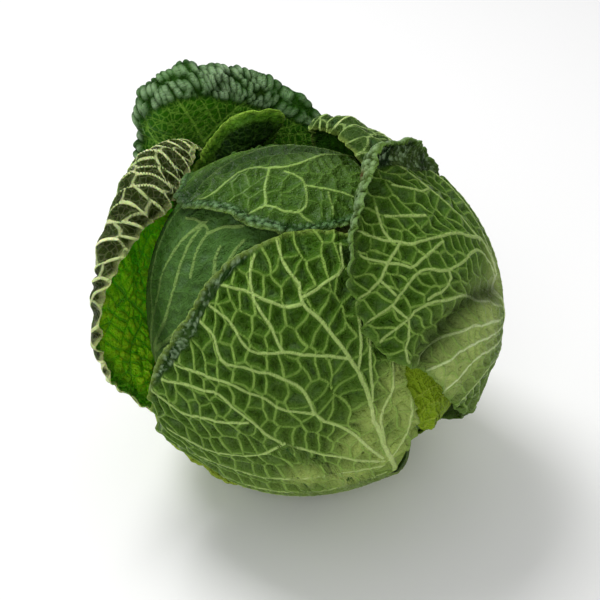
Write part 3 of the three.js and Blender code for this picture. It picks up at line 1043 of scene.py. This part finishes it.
crownLeaf = {
    "at": (32, 62), "lift": 1.8, "reach": [38, 42, 38, 32, 32, 36, 38, 38, 38, 38, 39, 41],
    "edgeLift": [5.5, 5, 1.5, 1.6, 1.7, 1.7, 4.5, 5.5], "grid": 170,
    "veins": [
        (1.4, 1.5, [(-30, -45), (-24, -12), (-15, 21), (-5, 31)]),
        (1.2, 1.2, [(-5, 31), (-11, 43), (-15, 49)]),
        (0.8, 1, [(-12, 29), (-20, 29), (-26, 34), (-28, 42), (-22, 47), (-15, 49)]),
        (0.9, 0.7, [(-5, 31), (4, 36), (10, 50), (20, 56)]),
        (0.8, 0.7, [(-15, 49), (-8, 55), (-2, 60)]),
        (0.8, 0.7, [(-25, 31), (-34, 25), (-46, 20)]),
        (0.8, 0.7, [(-34, 27), (-42, 36)]),
        (0.8, 0.7, [(-28, 43), (-38, 45)]),
        (1.2, 0.7, [(-24, -12), (4, 4), (14, 26), (20, 44)]),
        (1, 0.7, [(-24, -12), (-40, 0), (-50, 16)]),
    ],
    # a painted shade line of depth 0 across the crown's upper left, in the shade of the leaves above
    "foldsAndShades": [
        (0, 11, [(30, 54), (24, 41), (12, 28), (-1, 8), (-16, -5), (-30, -9)]),
    ],
    "relief": {
        "valley": 1.2, "pillow": 1.2, "crinkle": 0.5, "smooth": 1, "bead": 1.1, "beadSize": (2.8, 3),
        "beadWidth": [5, 4, 1, -4, -4, -4, 1, 5],
    },
    "look": {
        "hollow": "#224c06", "hollowDark": "#0f2e02", "shoulder": "#3c6014", "wall": "#6a8f3a",
        "vein": "#8fb058", "pale": "#647e36", "upper": "#33601a", "upperNet": "#8aa860",
        "waxSheen": "#6f9462", "beadShade": "#142e0e", "margin": "#617c30", "walls": 0.6, "roughness": 0.26,
        "coat": 0.07, "shine": 0.1, "wax": 0.14,
    },
}
addLeaf("crownLeaf", crownLeaf, "crown_leaf", 900)

uprightBackLeaf = {
    "at": (70, 122), "lift": 8, "reach": [13, 13, 18, 26, 42, 46, 50, 46, 35, 26, 34.5, 17.5],
    "edgeLift": [18, 13.5, 9, 6.5, 6.5, 7, 17, 25], "rim": [4], "grid": 110, "innerStep": 1,
    "fan": {**plainFan, "pairs": 5, "angle": 30, "curve": -2},
    # a painted shade line of depth 0 along its left side
    "foldsAndShades": [
        (0, 8, [(-42, 13), (-40, 2), (-43, -12), (-45, -27)]),
    ],
    "relief": {
        "valley": 1, "pillow": 0.9, "ruffle": 1.4, "frill": 1.6, "bead": -0.6, "beadSize": (3, 3.5),
        "beadWidth": [5],
    },
    "look": {
        "hollow": "#2e5309", "hollowDark": "#1c3b05", "shoulder": "#406414", "wall": "#5e8329",
        # the upper face: bright along the margin as painted light on the lit strip, dark inland as painted
        # shade
        "vein": "#799638", "pale": "#577425", "upper": "#74ae2a", "upperInland": "#16320a",
        "upperNet": "#5f8a30", "waxSheen": "#74a82a", "beadShade": "#2c5a12", "margin": "#a4cc48",
        "veins": 0.6, "walls": 0.5, "roughness": 0.46, "coat": 0.04, "inland": (4, 8), "shine": 0.15,
    },
}
addLeaf("uprightBackLeaf", uprightBackLeaf, "upright_back_leaf", 1000)

leftWrapper = {
    "at": (85, 182), "lift": 9.5, "reach": [50, 42, 38.5, 43, 50, 50, 50, 50, 52, 59, 64.5, 66],
    "edgeLift": [33, 30, 11, 8, 8.5, 10, 20, 44], "stalk": (180, 84, 24),
    "rim": [18, 7, 6, 8, 8, 8, 8, 8, 8, 12, 20.5, 33],
    "curl": [-120, -60, -45, -20, 0, 0, 0, 0, -20, -60, -105, -150], "grid": 180, "innerStep": 1,
    "cell": 7, "fan": {"width": 6, "pairs": 5, "first": 0.25, "angle": 48, "curve": -6, "length": 85},
    "relief": {"pillow": 2, "ruffle": 2, "frill": 1, "wallHalf": 0.36},
    "look": {
        "hollow": "#1c2605", "hollowDark": "#0f1502", "shoulder": "#2a380a", "wall": "#cbd898",
        # the upper face's bright yellow-green inland colour is a painted glow of light shining through the
        # leaf
        "vein": "#e6eeb4", "pale": "#8a9a52", "upper": "#519a16", "upperInland": "#c8f82a",
        "upperNet": "#9cd83e", "waxSheen": "#4f7a58", "margin": "#b4c07a", "veins": 1, "walls": 0.95,
        "roughness": 0.48, "shine": 0.05, "glow": 0.6, "blotch": 0.15, "wax": 0, "inland": (9, 17),
        "settled": {
            "from": (20, 34), "shoulder": "#3e6212", "hollow": "#1c3f05",
            "vein": "#96b260", "wall": "#6f913c",
        },
    },
}
addLeaf("leftWrapper", leftWrapper, "left_wrapper_leaf", 1100)

backRightLeaf = {
    "at": (78, 55), "lift": 17.5, "reach": [31, 30, 26, 26, 35, 44, 50, 50, 48, 46, 44, 48],
    "edgeLift": [20, 24, 25, 20, 16, 14, 14, 12], "stalk": (180, 91, 26),
    "rim": [13, 13, 10, 8, 8, 8, 8, 8], "curl": [-110, -110, -60, 0, 0, 0, -20, -60], "grid": 130,
    "cell": 8, "fan": {"width": 6, "pairs": 5, "first": 0.3, "angle": 50, "curve": -6, "length": 75},
    "relief": {"ruffle": 1.4, "frill": 1, "wallHalf": 0.4},
    "look": {
        "hollow": "#1f3a08", "hollowDark": "#0f2203", "shoulder": "#365216", "wall": "#9ab668",
        "vein": "#c2d48c", "pale": "#728345", "upper": "#4a8a22", "upperInland": "#4a8a1c",
        "upperNet": "#4f7a30", "waxSheen": "#4f7a58", "beadShade": "#1f3a1e", "margin": "#8aa04a",
        "veins": 0.95, "walls": 0.9, "roughness": 0.44,
    },
}
addLeaf("backRightLeaf", backRightLeaf, "back_right_leaf", 1200)

spreadBackLeaf = {
    "at": (80, 118), "lift": 28, "reach": [32, 29.5, 25, 29, 42, 50, 50, 50, 44, 33, 29, 29.5],
    "edgeLift": [54, 50, 36, 25, 20, 26, 41, 49], "stalk": (180, 89, 24), "rim": [20],
    "curl": [110, 90, 40, 0, 0, 0, 40, 90], "jag": 0.01, "grid": 160, "innerStep": 1, "cell": 6,
    "fan": {"width": 6, "pairs": 6, "first": 0.3, "angle": 46, "curve": -6, "length": 80},
    "relief": {
        "valley": 0.9, "pillow": 1.1, "bead": -2.4, "beadSize": (3.6, 6.2), "ruffle": 2.2, "frill": 0.3,
        "beadWidth": [13.5, 6, 4, 4, -4, 6, 13, 15.5], "wallHalf": 0.26,
    },
    "look": {
        "hollow": "#2a4714", "hollowDark": "#183009", "shoulder": "#445f21", "wall": "#6a823a",
        "vein": "#99aa65", "pale": "#7c8e45", "upper": "#2f6a08", "upperInland": "#3a7806",
        "upperNet": "#8abc44", "waxSheen": "#8fab82", "beadShade": "#12260a", "margin": "#2d4e25",
        "veins": 0.8, "walls": 0.7, "roughness": 0.36, "net": 0.5, "glow": 0.15,
    },
}
addLeaf("spreadBackLeaf", spreadBackLeaf, "spread_back_leaf", 1300)

lowerRightLeaf = {
    "at": (88, 317), "lift": 7.5, "reach": [24, 24, 26, 26, 24, 24, 22, 17, 13, 11, 12, 18],
    "edgeLift": [8, 8, 8, 7.5, 7.7, 8.4, 9.2, 8], "stalk": (180, 81, 15), "rim": [4], "grid": 100,
    "cell": 6, "fan": {"width": 3, "pairs": 4, "first": 0.5, "angle": 45, "curve": -5, "length": 40},
    "relief": {"valley": 0.8, "pillow": 0.8, "frill": 1.2},
    "look": {
        "hollow": "#74990f", "hollowDark": "#4c7007", "shoulder": "#82a01c", "wall": "#94b42a",
        "vein": "#a4bc3c", "pale": "#8cab22", "upper": "#6a8913", "upperNet": "#88a423",
        "waxSheen": "#8ca525", "beadShade": "#64860f", "margin": "#88a524", "veins": 0.6, "walls": 0.6,
        "roughness": 0.5,
    },
}
addLeaf("lowerRightLeaf", lowerRightLeaf, "lower_right_leaf", 1400)

frontWrapper = {
    "at": (62, 272), "lift": 15, "reach": [44, 53, 55, 36, 39.5, 41, 56, 55, 48, 38, 34, 35],
    "edgeLift": [8.5, 8.5, 11, 15.4, 12.4, 12.2, 18, 11], "stalk": (170, 105, 13), "rim": [6],
    "curl": [60, 0, 0, 0, 0, 0, 0, 0, 0, 0, 60, 100], "jag": 0.006, "grid": 280, "slim": 0.31,
    "veins": [
        (7.4, 2, [(24, -150), (33, -80), (37, -32), (38, -1), (37, 17), (29, 36), (24, 46), (24, 52)]),
        (1.1, 0.7, [(24, 51), (20, 61), (18, 72)]),
        (1, 0.7, [(24, 47), (35, 50), (42, 52), (44, 62)]),
        (1.2, 0.8, [(24, 45), (16, 45), (6, 50), (-10, 57), (-18, 60)]),
        (0.8, 0.7, [(6, 50), (5, 60), (8, 68)]),
        (1.6, 0.8, [(35, 20), (19, 27), (12, 30), (1, 32), (-6, 43), (-14, 51), (-24, 54)]),
        (0.9, 0.8, [(12, 30), (9, 41), (6, 50)]),
        (2.4, 0.8, [(34, -34), (25, -9), (16, 3), (13, 19), (-3, 26), (-12, 30), (-14, 40), (-22, 48)]),
        (1.4, 0.8, [(16, 3), (7, 7), (-1, 14), (-10, 20), (-19, 23), (-39, 29)]),
        (2.2, 0.8, [(34, -37), (17, -21), (1, -8), (-9, 4), (-17, 15), (-25, 18), (-44, 21)]),
        (1.1, 0.7, [(-9, 4), (-17, 5), (-33, 9), (-50, 16)]),
        (1.2, 0.7, [(1, -8), (-8, -12), (-18, -13), (-32, -10), (-48, -3)]),
        (1.9, 0.8, [(33, -40), (15, -32), (-4, -30), (-22, -26), (-42, -18)]),
        (1.5, 0.7, [(32, -48), (10, -48), (-14, -45), (-38, -38)]),
        (1.4, 0.7, [(31, -60), (6, -66), (-20, -62), (-42, -56)]),
        (1.5, 0.8, [(36, -28), (40, -10), (47, 0), (51, 10)]),
        (1.6, 0.8, [(36, -38), (46, -27), (52, -18), (56, -6)]),
        (1.2, 0.8, [(38, -2), (42, 12), (45, 26), (47, 40)]),
        (1, 0.7, [(37, 14), (42, 26), (44, 38)]),
    ],
    "paleSpots": [
        (37, -34, 13), (49, -12, 11), (18, -40, 13), (3, -34, 10), (52, -24, 13), (28, -21, 10),
        (36, -11, 8), (50, 0, 8),
    ],
    "relief": {
        "bead": -1.1, "beadSize": (2.7, 3), "beadWidth": [4, -4, -4, -4, -4, -4, -4, -4, -4, -4, 5, 7],
        "pillow": 2.4, "crinkle": 0.8, "paleReach": 100, "plainFrom": (85, 125), "smooth": 0.3,
        "ruffle": 0.8, "frill": 0.5,
    },
    "look": {
        "hollow": "#1b4202", "hollowDark": "#0a2001", "shoulder": "#3a5f10", "wall": "#86a74c",
        "vein": "#a2bd6a", "pale": "#a5ba62", "paleVein": "#b8cc80", "upper": "#5c7f34",
        "upperInland": "#33601a", "upperNet": "#8aa860", "waxSheen": "#93ad86", "beadShade": "#1c3a14",
        "margin": "#839c44", "veins": 0.95, "walls": 0.85, "roughness": 0.34, "wax": 0.12,
    },
}
addLeaf("frontWrapper", frontWrapper, "front_wrapper_leaf", 1500)

bottomLeaf = {
    "at": (125, 222), "lift": 15.8, "reach": [26, 23, 23, 27, 32, 36, 40, 44, 44, 44, 40, 32],
    "edgeLift": [17.5, 17, 16.5, 16.3, 15.5, 14.5, 14.5, 15.8], "stalk": (180, 44, 28), "thickness": 2.2,
    "jag": 0.008, "grid": 110, "fan": {**plainFan, "width": 7, "length": 70},
    "relief": {"valley": 1, "pillow": 1, "ruffle": 0.8, "frill": 0.5},
    "look": {
        "hollow": "#456a1a", "hollowDark": "#2f520c", "shoulder": "#64862a", "wall": "#93ad4f",
        "vein": "#a7bc66", "pale": "#8fa84c", "upper": "#4a7a1c", "upperInland": "#33601a",
        "margin": "#a3b83e", "roughness": 0.42,
    },
}
addLeaf("bottomLeaf", bottomLeaf, "bottom_leaf", 1600)

rightWrapper = {
    "at": (68, 345), "lift": 20.5, "reach": [41, 45.5, 42, 44, 53, 60, 60, 48, 34.5, 28, 34, 38],
    "edgeLift": [11, 11.5, 16.5, 18.7, 18.8, 18.4, 18.8, 14], "stalk": (180, 101, 20),
    "rim": [14, 18, 9, 6, 6, 6, 6, 9], "curl": [130, 150, 70, 0, 0, 0, 0, 40], "grid": 270, "cell": 8,
    "slim": 0.33,
    "veins": [
        (9.5, 2.8, [(0, -150), (3, -80), (6, -40), (20, -13), (14, 5)]),
        (2, 1, [(14, 5), (11, 13), (1, 25), (-5, 37), (-8, 63)]),
        (1.6, 0.8, [(19, -8), (25, 12), (29, 23), (36, 36), (42, 50)]),
        (1, 0.7, [(29, 23), (24, 29), (21, 42)]),
        (1, 0.8, [(12, 27), (4, 44)]),
        (1.1, 0.8, [(6, 48), (-4, 43), (-6, 38)]),
        (2.2, 0.8, [(6, -36), (12, -6), (-5, 13), (-12, 26), (-23, 30), (-28, 31), (-40, 38)]),
        (1, 0.8, [(-5, 36), (-14, 38), (-22, 39), (-33, 46)]),
        (0.9, 0.7, [(-14, 38), (-17, 52)]),
        (0.9, 0.8, [(-14, 38), (-12, 32), (-10, 27), (4, 18)]),
        (0.9, 0.9, [(-22, 39), (-24, 31)]),
        (1.9, 0.8, [(3, -38), (-6, -12), (-13, 5), (-22, 19), (-30, 22), (-42, 28)]),
        (1, 1, [(-5, 13), (-10, 11), (-20, 18)]),
        (0.9, 0.9, [(-28, 30), (-30, 22)]),
        (0.9, 0.7, [(-30, 22), (-35, 18), (-38, 17), (-44, 13)]),
        (1.7, 0.8, [(0, -42), (-12, -18), (-22, -3), (-33, 7), (-42, 9)]),
        (1.4, 0.7, [(-2, -44), (-21, -18), (-30, -6), (-42, 2)]),
        (1.4, 0.7, [(-4, -50), (-26, -21), (-44, -12)]),
        (1.2, 0.7, [(-3, -60), (-28, -36), (-46, -26)]),
        (1.4, 0.7, [(12, -30), (34, -8), (48, 12), (56, 34)]),
        (1.4, 0.7, [(9, -45), (40, -28), (60, -8), (70, 14)]),
        (1.4, 0.7, [(7, -62), (40, -54), (66, -34), (78, -10)]),
    ],
    # a real fold, with painted shade darkening its valley
    "foldsAndShades": [
        (4, 4.5, [(8.4, -31.9), (-7.5, -7.3), (-21.9, 2.3), (-31.3, 5.2), (-38.1, 6.7)]),
    ],
    "paleSpots": [(-24, -16, 18), (-10, -23, 16), (-39, -10, 16), (14, -30, 15)],
    "scars": [(17, 58, 2.2), (19, 55, 1.5)],
    "relief": {
        "bead": -1.5, "beadSize": (2.9, 3.1), "beadWidth": [9, 15, 10, -4, -4, -4, -4, -2],
        "paleReach": 85, "plainFrom": (50, 100), "smooth": 0.4,
    },
    "look": {
        "hollow": "#1d4504", "hollowDark": "#0c2402", "shoulder": "#3e6212", "wall": "#86a74c",
        "vein": "#a0bb68", "pale": "#a8bc6a", "paleVein": "#d0e2a4", "upper": "#6c8a3c",
        "waxSheen": "#9cb88c", "beadShade": "#10260c", "margin": "#5f8030", "roughness": 0.36, "wax": 0.12,
    },
}
addLeaf("rightWrapper", rightWrapper, "right_wrapper_leaf", 1700)


# heart and stem: the CAD solids stay, with finishes of their own

streaks = {"low": 0.3, "high": 0.7, "detail": 5}
plainLooks = {
    "packed_heart": {
        "name": "heartFinish", "colour": "#b3c277", "shade": "#93a957", "roughness": 0.45,
        "streaks": {**streaks, "size": 0.012}, "bump": (0.3, 0.0006),
    },
    "cut_stem": {
        "name": "stemFinish", "colour": "#c8cf9b", "shade": "#a3ad6c", "roughness": 0.55,
        "streaks": {**streaks, "size": 0.003}, "bump": (0.3, 0.0006),
    },
}


def plainFinish(look):
    table = NodeTable(look["name"])
    streaky = table.noise(**look["streaks"])
    colour = table.mix(streaky, seen(look["colour"]), seen(look["shade"]))
    table.link(colour, table.shader.inputs["Base Color"])
    table.rough(streaky, look["roughness"], defaultLook["roughRange"])
    table.bump(streaky, *look["bump"])
    return table.material


for node, look in plainLooks.items():
    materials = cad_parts[node].data.materials
    finish = plainFinish(look)
    for slot in range(len(materials)):
        materials[slot] = finish
    print(node, "finished")


# floor, light and camera

studio = {
    "floor": 3.0,  # metres across
    "floorColour": (0.92, 0.92, 0.92, 1),
    "floorRoughness": 0.9,
    "sky": 0.52,
    "keyPower": 13.2,
    "fillPower": 4,
    "lampSize": 0.6,
    "keyFrom": (-0.5, 0.36, 1.2),  # metres from the head's centre
    "fillFrom": (-0.2, -1.2, 0.8),
    "distance": 0.687,  # of the camera
    "elevation": 35,
    "below": 0.0058,  # how far the camera aims below the head's centre
    "lens": 85,
}


def makeFloor():
    half = studio["floor"] / 2
    corners = [(-half, -half, 0), (half, -half, 0), (half, half, 0), (-half, half, 0)]
    mesh = bpy.data.meshes.new("floor")
    mesh.from_pydata(corners, [], [(0, 1, 2, 3)])
    floor = bpy.data.objects.new("floor", mesh)
    bpy.context.scene.collection.objects.link(floor)
    table = NodeTable("floorFinish")
    table.settle({"Base Color": studio["floorColour"], "Roughness": studio["floorRoughness"]})
    mesh.materials.append(table.material)


def areaLight(name, direction, power):
    light = bpy.data.lights.new(name, "AREA")
    light.energy = power
    light.size = studio["lampSize"]
    lamp = bpy.data.objects.new(name, light)
    lamp.location = Vector(headCentre) + Vector(direction)
    lamp.rotation_euler = (-Vector(direction)).to_track_quat("-Z", "Y").to_euler()
    bpy.context.scene.collection.objects.link(lamp)


def makeSky():
    world = bpy.data.worlds.new("studio")
    world.use_nodes = True
    background = world.node_tree.nodes["Background"]
    background.inputs["Color"].default_value = (1, 1, 1, 1)
    background.inputs["Strength"].default_value = studio["sky"]
    bpy.context.scene.world = world
    bpy.context.scene.view_settings.view_transform = "Standard"


def makeCamera():
    elevation = math.radians(studio["elevation"])
    lens = bpy.data.cameras.new("camera")
    lens.lens = studio["lens"]
    camera = bpy.data.objects.new("camera", lens)
    toward = Vector((0, -math.cos(elevation), math.sin(elevation)))
    up = Vector((0, math.sin(elevation), math.cos(elevation)))
    camera.location = Vector(headCentre) - studio["below"] * up + studio["distance"] * toward
    camera.rotation_euler = (-toward).to_track_quat("-Z", "Y").to_euler()
    bpy.context.scene.collection.objects.link(camera)
    bpy.context.scene.camera = camera


makeFloor()
areaLight("keyLight", studio["keyFrom"], studio["keyPower"])
areaLight("fillLight", studio["fillFrom"], studio["fillPower"])
makeSky()
makeCamera()
print("studio ready")
